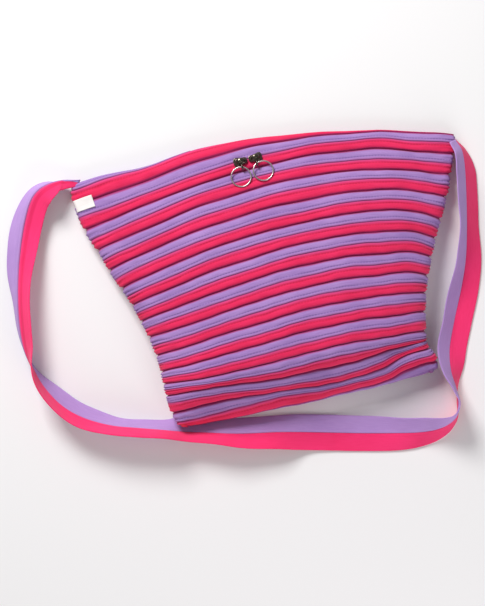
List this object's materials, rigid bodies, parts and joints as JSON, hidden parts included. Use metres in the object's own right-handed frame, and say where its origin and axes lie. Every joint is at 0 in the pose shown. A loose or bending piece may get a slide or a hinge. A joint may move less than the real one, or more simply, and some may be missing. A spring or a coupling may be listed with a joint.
{
  "type": "crossbody sling bag",
  "caption": "Flat tapering sling bag wound in a spiral from one two-colour zip chain, purple and pink, with a zipped mouth, ring pulls, a side label and the same chain as its strap.",
  "frame": {"origin": "centre of the bag's footprint, without the strap, on the surface that the bag lies on", "axes": "+X to the right as seen from the front, +Y towards the mouth, +Z out of the front, away from the surface that the bag's back lies on"},
  "size_m": [0.4349, 0.2987, 0.0495],
  "materials": {
    "purple_tape": "woven nylon zip tape, matt lavender",
    "pink_tape": "woven nylon zip tape, matt hot pink",
    "slider_metal": "gunmetal plating, polished",
    "ring_metal": "nickel plating, polished",
    "label_cloth": "plain white woven label"
  },
  "bodies": {
    "root": {"pink_tape_turn_01": "pink_tape", "pink_tape_turn_02_left": "pink_tape", "pink_tape_turn_02_right": "pink_tape", "pink_tape_turn_03_left": "pink_tape", "pink_tape_turn_03_right": "pink_tape", "pink_tape_turn_04_left": "pink_tape", "pink_tape_turn_04_right": "pink_tape", "pink_tape_turn_05_left": "pink_tape", "pink_tape_turn_05_right": "pink_tape", "pink_tape_turn_06_left": "pink_tape", "pink_tape_turn_06_right": "pink_tape", "pink_tape_turn_07_left": "pink_tape", "pink_tape_turn_07_right": "pink_tape", "pink_tape_turn_08_left": "pink_tape", "pink_tape_turn_08_right": "pink_tape", "pink_tape_turn_09_left": "pink_tape", "pink_tape_turn_09_right": "pink_tape", "pink_tape_turn_10_left": "pink_tape", "pink_tape_turn_10_right": "pink_tape", "pink_tape_turn_11_left": "pink_tape", "pink_tape_turn_11_right": "pink_tape", "pink_tape_turn_12_left": "pink_tape", "pink_tape_turn_12_right": "pink_tape", "pink_tape_turn_13": "pink_tape", "pink_tape_turn_14": "pink_tape", "pull_ring_left": "ring_metal", "pull_ring_right": "ring_metal", "purple_tape_turn_01": "purple_tape", "purple_tape_turn_02_left": "purple_tape", "purple_tape_turn_02_right": "purple_tape", "purple_tape_turn_03_left": "purple_tape", "purple_tape_turn_03_right": "purple_tape", "purple_tape_turn_04_left": "purple_tape", "purple_tape_turn_04_right": "purple_tape", "purple_tape_turn_05_left": "purple_tape", "purple_tape_turn_05_right": "purple_tape", "purple_tape_turn_06_left": "purple_tape", "purple_tape_turn_06_right": "purple_tape", "purple_tape_turn_07_left": "purple_tape", "purple_tape_turn_07_right": "purple_tape", "purple_tape_turn_08_left": "purple_tape", "purple_tape_turn_08_right": "purple_tape", "purple_tape_turn_09_left": "purple_tape", "purple_tape_turn_09_right": "purple_tape", "purple_tape_turn_10_left": "purple_tape", "purple_tape_turn_10_right": "purple_tape", "purple_tape_turn_11_left": "purple_tape", "purple_tape_turn_11_right": "purple_tape", "purple_tape_turn_12_left": "purple_tape", "purple_tape_turn_12_right": "purple_tape", "purple_tape_turn_13": "purple_tape", "purple_tape_turn_14": "purple_tape", "purple_tape_turn_15": "purple_tape", "side_label": "label_cloth", "strap_pink_tape": "pink_tape", "strap_purple_tape": "purple_tape", "zip_slider_left": "slider_metal", "zip_slider_right": "slider_metal"}
  },
  "joints": []
}
